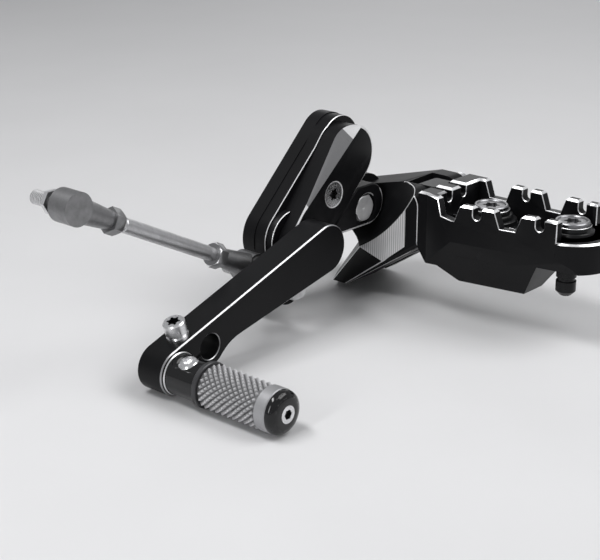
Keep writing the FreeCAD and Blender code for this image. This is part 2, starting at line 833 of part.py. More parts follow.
def toe_screw():
    """Socket screw through the end cap into the spindle."""
    end = toe_lengths()[3] + toe_cap_len
    seat = end - toe_screw_head_h
    low = toe_lengths()[3] - toe_screw_len
    profile = [
        (0, low),
        (toe_screw_d / 2, low),
        (toe_screw_d / 2, seat),
        (toe_screw_head_d / 2, seat),
        (toe_screw_head_d / 2, end + 0.2),
        (0, end + 0.2),
    ]
    screw = turned(profile).cut(hexagon(toe_screw_head_d * 0.5, toe_screw_head_h, end - 1.3))
    return placed(screw, at(toe, y_lever_out), OUTWARD)


def ball_stud(place, y_seat, facing, thread):
    """Ball stud with a hexagon at its seat; its ball stands off from the seat along a direction."""
    neck_r = ball_neck_d / 2
    profile = [
        (0, -thread),
        (m6_d / 2, -thread),
        (m6_d / 2, 0),
        (neck_r, 0),
        (neck_r, ball_inboard),
        (0, ball_inboard),
    ]
    ball = Part.makeSphere(ball_d / 2, V(0, 0, ball_inboard))
    stud = turned(profile).fuse([hexagon(stud_hex, stud_hex_h), ball])
    return placed(stud.removeSplitter(), at(place, y_seat), facing)


def ball_socket(place, other, mouth):
    """Ball socket open on one side, with a threaded barrel that points along the rod."""
    face = at(place, y_ball) + mouth * socket_face
    cup = Part.makeCylinder(socket_d / 2, socket_face + socket_back, face, -mouth)
    along = (at(other, y_ball) - at(place, y_ball)).normalize()
    barrel = Part.makeCone(barrel_root_d / 2, barrel_end_d / 2, barrel_len, at(place, y_ball), along)
    cavity = Part.makeSphere(ball_d / 2 + run_clear, at(place, y_ball))
    tap_at = at(place, y_ball) + along * (barrel_len - rod_in_barrel)
    tap = Part.makeCylinder(m6_d / 2 + seat_clear, rod_in_barrel, tap_at, along)
    spot_face = Part.makeCylinder(socket_d / 2 + stop_gap, socket_d, face, mouth)
    return cup.fuse(barrel).removeSplitter().cut([cavity, tap, spot_face])


def dust_boot(place, mouth):
    """Rubber bellows between the socket's mouth and the stud's hexagon."""
    narrow = ball_neck_d / 2 + stop_gap
    wide = socket_d / 2 - 1
    profile = [
        (wide - boot_wall, 0),
        (wide, 0),
        (wide - 0.3, boot_len * 0.3),
        (wide - 1.6, boot_len * 0.45),
        (wide - 1.2, boot_len * 0.6),
        (narrow + boot_wall, boot_len),
        (narrow, boot_len),
        (narrow, boot_len * 0.8),
    ]
    return placed(turned(profile), at(place, y_ball) + mouth * socket_face, mouth)


def shift_rod():
    """Round rod with a smaller threaded end in each barrel."""
    along = (at(ball_front, y_ball) - at(ball_rear, y_ball)).normalize()
    end = rod_len - barrel_len + rod_in_barrel - face_gap
    start = barrel_len - rod_in_barrel + face_gap
    plain = barrel_len + jam_h + rod_thread_out
    r, thread_r = rod_d / 2, m6_d / 2
    profile = [
        (0, start),
        (thread_r, start),
        (thread_r, plain),
        (r, plain + 0.6),
        (r, rod_len - plain - 0.6),
        (thread_r, rod_len - plain),
        (thread_r, end),
        (0, end),
    ]
    return placed(turned(profile), at(ball_rear, y_ball), along)


def jam_nut(place, other):
    """Thin nut that locks the rod in a barrel."""
    along = (at(other, y_ball) - at(place, y_ball)).normalize()
    nut = hex_head(jam_hex, jam_h).cut(Part.makeCylinder(m6_d / 2 + seat_clear, jam_h))
    return placed(nut, at(place, y_ball) + along * barrel_len, along)


def front_touch(front, nose, r):
    """Where the front wall runs into the round nose."""
    dx, dy = front[0] - nose[0], front[1] - nose[1]
    toward = math.degrees(math.atan2(dy, dx))
    return polar(nose, r, toward + math.degrees(math.acos(r / math.hypot(dx, dy))))


def peg_outline(inset, z):
    """Plan of the peg, drawn in from its front, nose and rear but not from its inner end."""
    nose = (peg_nose_x, nose_y)
    r = peg_nose_r - inset
    rear_x = peg_nose_x + r
    front = (peg_front_x + inset, peg_inner - peg_front_at)
    touch = front_touch(front, nose, r)
    tip = polar(nose, r, 270)
    corners = [
        (arm_x + inset, peg_inner),
        (arm_x + inset, peg_inner - peg_neck_len),
        front,
        touch,
        (rear_x, nose_y),
        (rear_x, peg_inner),
    ]
    p = [V(x, y, z) for x, y in corners]
    edges = [Part.LineSegment(a, b).toShape() for a, b in zip(p, p[1:] + p[:1])]
    edges[3] = Part.Arc(p[3], V(tip[0], tip[1], z), p[4]).toShape()
    return Part.Wire(edges)


def across(points):
    """A cutter of one YZ profile that runs right across the peg."""
    corners = [V(cutter_x, y, z) for y, z in points]
    return Part.Face(Part.makePolygon(corners + corners[:1])).extrude(V(cutter_w, 0, 0))


def valley(at_y, width):
    """A wide trapezoid gap between two groups of teeth."""
    start = peg_inner - at_y
    high = peg_top_z + 1
    return across([
        (start + valley_slope, high),
        (start, valley_floor),
        (start - width, valley_floor),
        (start - width - valley_slope, high),
    ])


def notch(at_y):
    """A round-bottomed notch in the front and rear walls."""
    r = notch_w / 2
    y = peg_inner - at_y
    cutter = Part.makeCylinder(r, cutter_w, V(cutter_x, y, notch_floor + r), REARWARD)
    slot = Part.makeBox(cutter_w, notch_w, peg_top_z - notch_floor, V(cutter_x, y - r, notch_floor + r))
    return cutter.fuse(slot)


def inner_notch(index):
    """A round-bottomed notch in the inner end wall."""
    r = notch_w / 2
    x = stud_x + inner_notch_pitch * (index - (inner_notches - 1) / 2)
    length = peg_neck_len + peg_wall
    base = V(x, peg_inner - length, notch_floor + r)
    cutter = Part.makeCylinder(r, length, base, INWARD)
    return cutter.fuse(Part.makeBox(notch_w, length, peg_top_z - notch_floor, base - V(r, 0, 0)))


def bevels(inset):
    """Cutters that pare the underside in from the front and rear walls, from the bevel line down."""
    nose = (peg_nose_x, nose_y)
    front = (peg_front_x, peg_inner - peg_front_at)
    touch = front_touch(front, nose, peg_nose_r)
    run = V(touch[0] - front[0], touch[1] - front[1], 0).normalize()
    reach = 2 * peg_nose_at
    square = UP.cross(run)
    line = V(front[0], front[1], peg_bevel_z) + square * inset
    rear_line = V(peg_nose_x + peg_nose_r - inset, nose_y, peg_bevel_z)
    return [
        wedge(line, run, -UP, square, peg_bevel_slope, reach),
        wedge(rear_line, INWARD, -UP, -REARWARD, peg_bevel_slope, reach),
    ]


def underside():
    """Cutter for the space below the peg, which is deepest at the keel and raised at both ends."""
    low = peg_keel_z - peg_nose_r
    steps = [
        (-1, low),
        (-1, peg_end_low_z),
        (0, peg_end_low_z),
        (peg_heel_at, peg_heel_z),
        (peg_heel_end, peg_heel_z),
        (peg_keel_at, peg_keel_z),
        (peg_keel_end, peg_keel_z),
        (peg_nose_low_at, peg_nose_low_z),
        (peg_nose_at + peg_nose_r + 1, peg_nose_low_z),
        (peg_nose_at + peg_nose_r + 1, low),
    ]
    return across([(peg_inner - along, z) for along, z in steps])


def footpeg():
    """Open toothed peg: a ring of walls on a bevelled keel, with a spine, two bosses and a hinge tongue."""
    body = Part.Face(peg_outline(0, peg_keel_z)).extrude(V(0, 0, peg_top_z - peg_keel_z))
    body = body.cut(bevels(0) + [underside()])
    wall_y = peg_inner - peg_neck_len - peg_wall
    hollow = Part.Face(peg_outline(peg_wall, peg_floor_z)).extrude(V(0, 0, peg_top_z - peg_floor_z + 1))
    inner_end = Part.makeBox(2 * arm_w, 2 * arm_w, 3 * arm_w, V(0, wall_y, peg_floor_z - 1))
    ribs_h = peg_boss_top - peg_floor_z
    spine_at = V((stud_x + peg_nose_x - peg_spine_w) / 2, nose_y, peg_floor_z)
    ribs = [Part.makeBox(peg_spine_w, wall_y - nose_y, ribs_h, spine_at)]
    for x, y in ((stud_x, stud_y), (peg_nose_x, nose_y)):
        ribs.append(Part.makeCylinder(peg_boss_r, ribs_h, V(x, y, peg_floor_z)))
    fx, fy = feeler_place()
    ribs.append(Part.makeCylinder(feeler_d / 2 + 1, ribs_h, V(fx, fy, peg_floor_z)))
    hollow = hollow.cut(bevels(peg_wall) + [inner_end] + ribs)
    nose_floor = peg_nose_low_z + peg_wall
    sole = peg_inner - peg_keel_end + peg_wall
    sole_len = peg_nose_at + peg_nose_r - peg_keel_end + peg_wall
    sole_at = V(peg_front_x, sole - sole_len, peg_floor_z)
    hollow = hollow.cut(Part.makeBox(2 * arm_w, sole_len, nose_floor - peg_floor_z, sole_at))
    cuts = [hollow]
    cuts += [valley(valley_1_at, valley_1_w), valley(valley_2_at, valley_2_w)]
    cuts += [notch(notch_1_at), notch(notch_2_at)]
    cuts += [inner_notch(i) for i in range(inner_notches)]
    shelf_y = peg_inner - shelf_at
    nose_end = nose_y - peg_nose_r - 1
    high = peg_top_z + 1
    cuts.append(across([(shelf_y, high), (shelf_y, shelf_z), (nose_end, shelf_z), (nose_end, high)]))
    body = body.cut(cuts)
    tongue_x = clevis_x + side_gap
    knuckle = Part.makeCylinder(ear_r, tongue_w, V(tongue_x, hinge_y, hinge_z), REARWARD)
    link = Part.makeBox(tongue_w, hinge_y - peg_inner, 2 * ear_r, V(tongue_x, peg_inner, hinge_z - ear_r))
    body = body.fuse([knuckle, link]).removeSplitter()
    bore = Part.makeCylinder(hinge_d / 2 + run_clear, tongue_w, V(tongue_x, hinge_y, hinge_z), REARWARD)
    taps = []
    for x, y in ((stud_x, stud_y), (peg_nose_x, nose_y)):
        depth = grip_screw_len
        taps.append(Part.makeCylinder(bolt_d / 2 + seat_clear, depth, V(x, y, peg_boss_top - depth)))
    tap = Part.makeCylinder(feeler_thread_d / 2 + seat_clear, feeler_thread_len, V(fx, fy, peg_nose_low_z))
    return body.cut([bore, tap] + taps)


def feeler_place():
    """Where the feeler screws into the underside of the outer boss."""
    return polar((peg_nose_x, nose_y), feeler_off, feeler_angle)


def grip_disc(x, y):
    """Stepped grip disc that stands on a boss of the peg."""
    bore = bolt_d / 2 + bolt_clear
    h = disc_step_h
    seat = grip_screw_head_d / 2 + seat_clear
    top = 3 * h
    profile = [
        (bore, 0),
        (disc_d / 2, 0),
        (disc_d / 2, h - 0.4),
        (disc_d / 2 - 0.4, h),
        (disc_step_d / 2, h),
        (disc_step_d / 2, 2 * h - 0.4),
        (disc_step_d / 2 - 0.4, 2 * h),
        (disc_neck_d / 2, 2 * h),
        (disc_neck_d / 2, top),
        (seat, top),
        (seat, top - 0.6),
        (bore, top - 0.6),
    ]
    return placed(turned(profile), V(x, y, peg_boss_top), UP)


def grip_screws():
    """Two flat-headed screws with raised rims, one through each grip disc."""
    screws = []
    r = grip_screw_head_d / 2
    seat = 3 * disc_step_h - 0.6
    tip = -grip_screw_len + 1
    top = seat + grip_screw_head_h
    for x, y in ((stud_x, stud_y), (peg_nose_x, nose_y)):
        profile = [
            (0, tip),
            (bolt_d / 2, tip),
            (bolt_d / 2, seat),
            (r, seat),
            (r, top - 0.4),
            (r - 0.4, top),
            (r - grip_screw_rim, top),
            (r - grip_screw_rim - 0.4, top - 0.5),
            (0, top - 0.5),
        ]
        screw = turned(profile).cut(six_lobe(grip_screw_head_d * 0.5, 1.6, top - 0.5))
        screws.append(placed(screw, V(x, y, peg_boss_top), UP))
    return Part.makeCompound(screws)


def peg_feeler():
    """Banking feeler below the nose, necked under its shoulder."""
    fx, fy = feeler_place()
    r = feeler_d / 2
    shoulder = 3.0
    profile = [
        (0, -feeler_thread_len + 0.5),
        (feeler_thread_d / 2, -feeler_thread_len + 0.5),
        (feeler_thread_d / 2, 0),
        (r, 0),
        (r, shoulder),
        (feeler_neck_d / 2, shoulder + 0.3),
        (feeler_neck_d / 2, shoulder + feeler_groove),
        (r, shoulder + feeler_groove + 0.3),
        (r, feeler_len - 2),
        (r - 2, feeler_len),
        (0, feeler_len),
    ]
    return placed(turned(profile), V(fx, fy, peg_nose_low_z), -UP)


def main():
    """Build every piece and write one file for each."""
    collar, grip, ring, cap = toe_lengths()
    retain_at = y_bracket + stop_gap
    retain_bore = m6_d + 2 * bolt_clear
    thrust_t = thrust_washer_t + face_gap
    thrust_bore = shaft_d + 2 * seat_clear
    pieces = {
        "peg_bracket": peg_bracket(),
        "hinge_bolt": hinge_bolt(),
        "peg_spring": peg_spring(),
        "lever_carrier": lever_carrier(),
        "cover_plate": cover_plate(),
        "cover_screw": cover_screw(),
        "frame_bolts": frame_bolts(),
        "bush_outer": pivot_bush(y_cover, y_carrier - bush_flange_gap),
        "bush_inner": pivot_bush(y_carrier, y_bracket),
        "shift_lever": shift_lever(),
        "pivot_shaft": pivot_shaft(),
        "thrust_washer": washer(pivot, y_lever_in, thrust_t, thrust_washer_d, thrust_bore),
        "retaining_washer": washer(pivot, retain_at, retain_washer_t, retain_washer_d, retain_bore),
        "retaining_screw": retaining_screw(),
        "clamp_bolt": clamp_bolt(),
        "clamp_washer": clamp_washer(),
        "toe_holder": toe_holder(),
        "holder_screw": holder_screw(),
        "toe_collar": toe_sleeve(collar, toe_collar_len, toe_collar_d, 0.4),
        "toe_grip": toe_grip(),
        "toe_ring": toe_sleeve(ring, toe_ring_len, toe_ring_d, 0.5),
        "toe_cap": toe_cap(),
        "toe_screw": toe_screw(),
        "rear_ball_stud": ball_stud(ball_rear, y_lever_in, INWARD, stud_thread - 0.5),
        "shift_rod": shift_rod(),
        "rear_socket": ball_socket(ball_rear, ball_front, OUTWARD),
        "rear_jam_nut": jam_nut(ball_rear, ball_front),
        "rear_boot": dust_boot(ball_rear, OUTWARD),
        "front_socket": ball_socket(ball_front, ball_rear, INWARD),
        "front_jam_nut": jam_nut(ball_front, ball_rear),
        "front_boot": dust_boot(ball_front, INWARD),
        "front_ball_stud": ball_stud(ball_front, y_ball + ball_inboard, OUTWARD, front_stud_reach),
        "footpeg": footpeg(),
        "grip_disc_inner": grip_disc(stud_x, stud_y),
        "grip_disc_outer": grip_disc(peg_nose_x, nose_y),
        "grip_screws": grip_screws(),
        "peg_feeler": peg_feeler(),
    }
    os.makedirs("parts", exist_ok=True)
    for name, shape in pieces.items():
        shape.exportStep(os.path.join("parts", name + ".step"))


main()
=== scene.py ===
import json
import math

import bmesh
import bpy
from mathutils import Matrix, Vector

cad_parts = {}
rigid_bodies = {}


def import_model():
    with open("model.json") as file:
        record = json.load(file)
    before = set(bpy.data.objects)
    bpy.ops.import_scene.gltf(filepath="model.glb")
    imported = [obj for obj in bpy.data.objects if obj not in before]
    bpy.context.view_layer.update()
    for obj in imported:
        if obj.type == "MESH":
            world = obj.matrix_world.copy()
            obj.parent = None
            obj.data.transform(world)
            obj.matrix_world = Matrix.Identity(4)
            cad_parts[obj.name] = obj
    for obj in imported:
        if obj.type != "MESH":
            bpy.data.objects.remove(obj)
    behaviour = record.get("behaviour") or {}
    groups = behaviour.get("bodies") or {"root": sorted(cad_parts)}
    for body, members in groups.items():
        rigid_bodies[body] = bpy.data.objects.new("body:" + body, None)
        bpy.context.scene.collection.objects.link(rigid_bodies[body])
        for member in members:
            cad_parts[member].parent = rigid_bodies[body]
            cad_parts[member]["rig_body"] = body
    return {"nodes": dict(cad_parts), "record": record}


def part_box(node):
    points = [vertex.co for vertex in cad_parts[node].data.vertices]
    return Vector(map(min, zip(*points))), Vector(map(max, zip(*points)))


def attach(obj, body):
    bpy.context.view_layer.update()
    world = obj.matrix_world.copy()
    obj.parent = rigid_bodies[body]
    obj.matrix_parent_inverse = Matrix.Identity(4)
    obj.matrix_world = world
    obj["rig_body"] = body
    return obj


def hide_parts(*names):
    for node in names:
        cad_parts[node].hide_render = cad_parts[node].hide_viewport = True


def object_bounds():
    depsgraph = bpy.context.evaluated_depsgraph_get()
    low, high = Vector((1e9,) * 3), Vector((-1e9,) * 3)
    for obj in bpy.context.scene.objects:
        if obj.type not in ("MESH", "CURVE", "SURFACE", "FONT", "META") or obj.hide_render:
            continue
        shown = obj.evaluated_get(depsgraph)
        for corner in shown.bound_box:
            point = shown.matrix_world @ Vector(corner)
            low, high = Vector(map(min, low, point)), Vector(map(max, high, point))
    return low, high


bl_info = {
    "name": "Motorcycle rearset looks",
    "version": (1, 0, 0),
    "blender": (4, 5, 0),
    "location": "View3D > Sidebar > Rearset",
    "description": "Machined edges, finishes and a plain stage for the rearset",
    "category": "Object",
}

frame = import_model()
CAD_BOX = [[float(v) for v in corner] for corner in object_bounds()]

# Directions: outward from the mounting face, back into it, up, and to the rear.
OUT = (0.0, -1.0, 0.0)
INWARD = (0.0, 1.0, 0.0)
UP = (0.0, 0.0, 1.0)
REAR = (1.0, 0.0, 0.0)
ORIGIN = (0.0, 0.0, 0.0)
LEVER_UP = (-0.2957, 0.0, 0.9553)
COVER_RUN = Vector((0.773, 0.0, 0.635)).normalized()

# Mesh work: lengths in metres, angles in degrees.
MERGE_GAP = 1e-6
SAME_PLACE = 1e-5
FLAT_ANGLE = 0.6
SMOOTH_ANGLE = 26
EDGE_ANGLE = 30
DISC_EDGE_ANGLE = 50
HOLE_EDGE_ANGLE = 60
CAP_RING_ANGLES = (20.05, 45.84)
CAP_STEPS = 4

# Places of a material on a piece: the second is for bright cuts and painted highlight, the third for a special
# facet.
BRIGHT, SPECIAL = 1, 2

# How far a face's normal leans on a chamfer, the cover's long facet, the lever's chamfer and a nut's,
# and from where on a face counts as looking one way.
CHAMFER_LEAN = (-0.9, -0.5)
FACET_LEAN = (-0.97, -0.9)
LEVER_LEAN = (0.4, 0.95)
NUT_LEAN = (0.2, 0.97)
FACING = 0.9
FRONT_FACING = 0.9995
FLAT_FACING = 0.99

# The bracket's arm: its bare kite, its outer end and the run of its front side.
KITE_CORNER = Vector((0.02465, -0.03926, -0.01135))
KITE_LOW_SIDE = Vector((0.0, -0.01038, -0.01309))
KITE_END = Vector((0.02465, -0.0522, 0.0))
ARM_END_X, ARM_END_Y = 0.0260, -0.0590
ARM_FRONT_X, ARM_START_Y = 0.0372, -0.0126
ARM_LOW_Z, ARM_TOP_Z = -0.0075, 0.0172

# The carrier's bolt lobe and the cover plate.
PLATE_FACE_Y = -0.0290
LOBE_LOW_SIDE = 0.1
COVER_SCREW_REACH = 0.0075
COVER_TOP_Z = 0.0300
COVER_TOP_LEAN = -0.2

# The toe peg, the ball studs and the screws' recesses, which are darkened as painted shade.
HOLE_SLACK = 0.0003
HOLDER_RIM_Y = -0.0480
KNURL_DEPTH = 0.0013
STUD_THREAD = 0.009
BOLT_THREAD = (0.0005, 0.0175)
RECESS_BELOW = 0.0003
TOE_RECESS_R = 0.0024
COVER_RECESS_R = 0.0032
CLAMP_RECESS_R = 0.0034

# The foot peg's teeth and its low nose.
TOOTH_SLACK = 0.0002
NOSE_REACH = 0.016
SHELF_Z = 0.0175
TEETH_Y, VALLEY_Z = -0.0600, 0.0150

# The stage: each lamp has its place, width and height in metres, watts and spread in degrees.
FLOOR_Z = CAD_BOX[0][2] - 0.0002
FLOOR_REACH = 6.0
LAMP_AIM = Vector((-0.03, -0.06, 0.01))
LAMPS = {
    "key_lamp": ((0.40, -0.72, 0.95), (0.8, 0.8), 8.0, 180.0),
    "top_lamp": ((-0.50, 0.15, 1.05), (0.7, 0.22), 7.0, 180.0),
    "side_lamp": ((-1.05, -0.17, 0.40), (0.16, 0.6), 0.35, 60.0),
    "rim_lamp": ((1.05, 0.62, 0.40), (0.5, 0.5), 0.7, 180.0),
}
WORLD_COLOUR = (0.97, 0.98, 1.0, 1.0)
WORLD_LIGHT, WORLD_SEEN = 0.20, 0.45
CAMERA_PLACE = (-0.50629, -0.45655, 0.22460)
CAMERA_TILT, CAMERA_TURN = 70.0, -48.5
LENS_MM, SENSOR_MM, NEAREST = 90.0, 36.0, 0.02


def fine_size(label, about, default, smallest=0.0001, largest=0.001):
    """A small length that the panel offers."""
    return bpy.props.FloatProperty(
        name=label, description=about, default=default, min=smallest, max=largest, precision=5, unit="LENGTH")


def colour_choice(label, about, default):
    """A colour that the panel offers."""
    return bpy.props.FloatVectorProperty(
        name=label, description=about, default=default, min=0.0, max=1.0, size=3, subtype="COLOR")


class RearsetSizes(bpy.types.PropertyGroup):
    """Sizes of the fine detail that the finishes carry."""

    plate_edge: fine_size("Plate edge", "Width of the bright chamfer round the plates", 0.0003)
    rim_edge: fine_size(
        "Rim edge", "Width of the bright line round the bolt lobe and the cover's screw", 0.0005)
    # The cover facet's two ends are given the bright edge finish: painted highlight.
    facet_tip_highlight: fine_size(
        "Facet tip", "Length of the brighter low tip of the cover's long facet", 0.0045, 0.001, 0.01)
    facet_top_highlight: fine_size(
        "Facet top", "Length of the brighter top end of the cover's long facet", 0.0075, 0.001, 0.01)
    cap_round: fine_size("Cap rounding", "Rounding of the edges on the toe peg's domed cap", 0.0009, 0.0002)
    tooth_edge: fine_size(
        "Tooth edge", "Width of the bright chamfer on the tops of the foot peg's teeth", 0.001, largest=0.002)
    flank_edge: fine_size(
        "Flank edge", "Width of the bright line down the teeth and along the valleys", 0.0003)
    shelf_edge: fine_size(
        "Shelf edge", "Width of the bright chamfer round the low nose of the foot peg", 0.0008, largest=0.002)
    disc_edge: fine_size("Disc edge", "Width of the bright line round the steps of the grip discs", 0.0002)
    milled_pitch: fine_size(
        "Milled pitch", "Distance between the milled lines on the bare facet", 0.00125, 0.0002, 0.002)
    bolt_pitch: fine_size("Bolt pitch", "Thread pitch of the two frame bolts", 0.00125, 0.0005, 0.002)
    rod_pitch: fine_size("Rod pitch", "Thread pitch of the front ball stud", 0.001, 0.0003, 0.002)
    turned_pitch: fine_size("Turned pitch", "Distance between the fine rings left by turning", 0.0003)


class RearsetFinishes(bpy.types.PropertyGroup):
    """Colours of the rearset's metals, rubber and floor."""

    black: colour_choice("Black", "Satin black anodised alloy", (0.0055, 0.0055, 0.0062))
    gloss: colour_choice("Gloss black", "Glossy black anodised alloy", (0.0045, 0.0045, 0.005))
    edge: colour_choice("Edge", "Bright machined edge", (0.86, 0.86, 0.87))
    lever_line: colour_choice("Lever line", "Bright chamfer of the shift lever", (0.42, 0.42, 0.43))
    facet: colour_choice("Facet", "Polished facet of the cover plate", (0.24, 0.24, 0.245))
    bare: colour_choice("Bare alloy", "Milled alloy with no anodising", (0.88, 0.88, 0.89))
    knurl: colour_choice("Knurl", "Grey anodised alloy of the toe grip", (0.42, 0.42, 0.43))
    ring: colour_choice("Ring", "Grey anodised alloy of the toe ring", (0.33, 0.33, 0.34))
    collar: colour_choice("Collar", "Dark grey anodised alloy of the toe collar", (0.07, 0.07, 0.073))
    silver: colour_choice("Silver", "Clear anodised alloy of the shift rod", (0.52, 0.52, 0.53))
    socket: colour_choice("Socket", "Grey alloy of the ball sockets and jam nuts", (0.26, 0.26, 0.265))
    steel: colour_choice("Steel", "Stainless steel of the bolts and screws", (0.74, 0.74, 0.75))
    dark_steel: colour_choice("Dark steel", "Darker steel of the grip screws", (0.24, 0.24, 0.25))
    spring: colour_choice("Spring", "Oiled spring steel", (0.20, 0.19, 0.18))
    bronze: colour_choice("Bronze", "Plain bearing bronze", (0.55, 0.36, 0.16))
    rubber: colour_choice("Rubber", "Black rubber of the boots", (0.018, 0.018, 0.019))
    floor: colour_choice("Floor", "Pale floor", (0.74, 0.74, 0.75))


class Value:
    """A node socket that takes part in plain sums."""

    def __init__(self, tree, socket):
        self.tree = tree
        self.socket = socket

    def node(self, kind, settings=None, values=None, out=0):
        """Any other node: its settings come first, then the values or links of its sockets."""
        made = self.tree.nodes.new(kind)
        for key, setting in (settings or {}).items():
            setattr(made, key, setting)
        for key, value in (values or {}).items():
            if isinstance(value, Value):
                self.tree.links.new(value.socket, made.inputs[key])
            else:
                made.inputs[key].default_value = value
        return Value(self.tree, made.outputs[out])

    def maths(self, operation, first, second=0.0):
        """A Math node on two values or numbers."""
        return self.node("ShaderNodeMath", {"operation": operation}, {0: first, 1: second})

    def __add__(self, other):
        return self.maths("ADD", self, other)

    def __radd__(self, other):
        return self.maths("ADD", other, self)

    def __sub__(self, other):
        return self.maths("SUBTRACT", self, other)

    def __rsub__(self, other):
        return self.maths("SUBTRACT", other, self)

    def __mul__(self, other):
        return self.maths("MULTIPLY", self, other)

    def __rmul__(self, other):
        return self.maths("MULTIPLY", other, self)

    def __truediv__(self, other):
        return self.maths("DIVIDE", self, other)

    def __rtruediv__(self, other):
        return self.maths("DIVIDE", other, self)

    def above(self, limit):
        """1 where this value is above a limit, and 0 elsewhere."""
        return self.maths("GREATER_THAN", self, limit)

    def below(self, limit):
        """1 where this value is below a limit, and 0 elsewhere."""
        return self.maths("LESS_THAN", self, limit)

    def noise(self, size, detail=2.0, rough=0.5):
        """Cloudy noise whose lumps are about this size, from 0 to 1."""
        values = {"Vector": self, "Scale": 1.0 / size, "Detail": detail, "Roughness": rough}
        return self.node("ShaderNodeTexNoise", None, values)

    def ramp(self, low, high, to_low=0.0, to_high=1.0):
        """Stretches a range of values to another and holds it there."""
        values = {"Value": self, "From Min": low, "From Max": high, "To Min": to_low, "To Max": to_high}
        return self.node("ShaderNodeMapRange", {"clamp": True}, values)

    def blend(self, first, second):
        """A colour between two, with this value as the share of the second."""
        values = {0: self, 6: first, 7: second}
        return self.node("ShaderNodeMix", {"data_type": "RGBA"}, values, 2)

    def vector(self, operation, other, out=0):
        """A Vector Math node on this vector and another."""
        values = {0: self, 1: other}
        return self.node("ShaderNodeVectorMath", {"operation": operation}, values, out)

    def stretched(self, scale):
        """The same place, drawn out along some axes."""
        return self.vector("MULTIPLY", scale)

    def along(self, centre, axis):
        """Distance from a point along an axis."""
        return self.vector("SUBTRACT", centre).vector("DOT_PRODUCT", axis, 1)

    def around(self, centre, axis):
        """Distance from an axis."""
        across = self.vector("SUBTRACT", centre).vector("CROSS_PRODUCT", axis)
        return across.node("ShaderNodeVectorMath", {"operation": "LENGTH"}, {0: across}, 1)

    def teeth(self, pitch):
        """A triangle wave of a distance, from 0 to 1."""
        centred = self.maths("FRACT", self / pitch) - 0.5
        return self.maths("ABSOLUTE", centred) * 2.0

    def bump(self, depth, strength):
        """A surface normal whose height is this value times a depth."""
        return self.node("ShaderNodeBump", None, {"Height": self, "Distance": depth, "Strength": strength})


def shade(colour, times):
    """A colour made darker or lighter, with its alpha."""
    return tuple(min(1.0, c * times) for c in colour) + (1.0,)


def new_finish(name, constants):
    """A material, its shader and the place on the piece; constants go on the shader's own sockets."""
    material = bpy.data.materials.new(name)
    material.use_nodes = True
    tree = material.node_tree
    shader = tree.nodes["Principled BSDF"]
    for socket, value in constants.items():
        shader.inputs[socket].default_value = value
    return material, shader, Value(tree, tree.nodes.new("ShaderNodeTexCoord").outputs["Object"])


def feed(shader, sockets):
    """Links values to the shader's sockets."""
    for name, value in sockets.items():
        value.tree.links.new(value.socket, shader.inputs[name])


def anodised(name, colour, roughness, metal=0.0, grain=0.00022, coat=0.0):
    """Anodised alloy: blasted grain under a thin even colour, a little cloudy, with faint handling marks."""
    constants = {"Specular IOR Level": 0.12, "Metallic": metal, "Coat Weight": coat, "Coat Roughness": 0.05}
    material, shader, place = new_finish(name, constants)
    clouds = place.noise(size=0.03, detail=4.0)
    blast = place.noise(size=grain, detail=2.0, rough=0.6)
    marks = place.stretched((1.0, 6.0, 1.0)).noise(size=0.004, detail=5.0, rough=0.7).ramp(0.56, 0.78)
    tone = (clouds * 0.7 + blast * 0.3).ramp(0.25, 0.75)
    cloudy = clouds.ramp(0.3, 0.7, to_low=roughness - 0.04, to_high=roughness + 0.05)
    feed(shader, {
        "Base Color": tone.blend(shade(colour, 0.75), shade(colour, 1.35)),
        "Roughness": cloudy + blast * 0.06 - marks * 0.06,
        "Normal": blast.bump(depth=0.00002, strength=0.5),
    })
    return material


def machined(name, colour, roughness=0.24, metal=1.0):
    """Bare alloy left bright by the cutter: fine streaks and small nicks."""
    material, shader, place = new_finish(name, {"Metallic": metal})
    streaks = place.stretched((1.0, 1.0, 6.0)).noise(size=0.0006, detail=3.0, rough=0.65)
    nicks = place.noise(size=0.0025, detail=4.0, rough=0.7).ramp(0.60, 0.74)
    feed(shader, {
        "Base Color": (streaks * 0.5 + nicks * 0.5).blend(shade(colour, 1.05), shade(colour, 0.72)),
        "Roughness": streaks.ramp(0.3, 0.7, to_low=roughness, to_high=roughness + 0.12) + nicks * 0.15,
        "Normal": streaks.bump(depth=0.00001, strength=0.4),
    })
    return material


def milled(name, colour, pitch):
    """Bare alloy with fine upright lines left by a milling cutter."""
    material, shader, place = new_finish(name, {"Metallic": 0.35})
    wobble = place.noise(size=0.006) * 0.0001
    lines = (place.along(ORIGIN, INWARD) + wobble).teeth(pitch)
    grain = place.stretched((1.0, 1.0, 0.08)).noise(size=0.0002, detail=3.0, rough=0.6)
    tone = (lines * 0.7 + grain * 0.3).ramp(0.2, 0.8)
    feed(shader, {
        "Base Color": tone.blend(shade(colour, 0.55), shade(colour, 1.0)),
        "Roughness": grain.ramp(0.3, 0.7, to_low=0.30, to_high=0.44),
        "Normal": lines.bump(depth=0.00006, strength=0.7),
    })
    return material


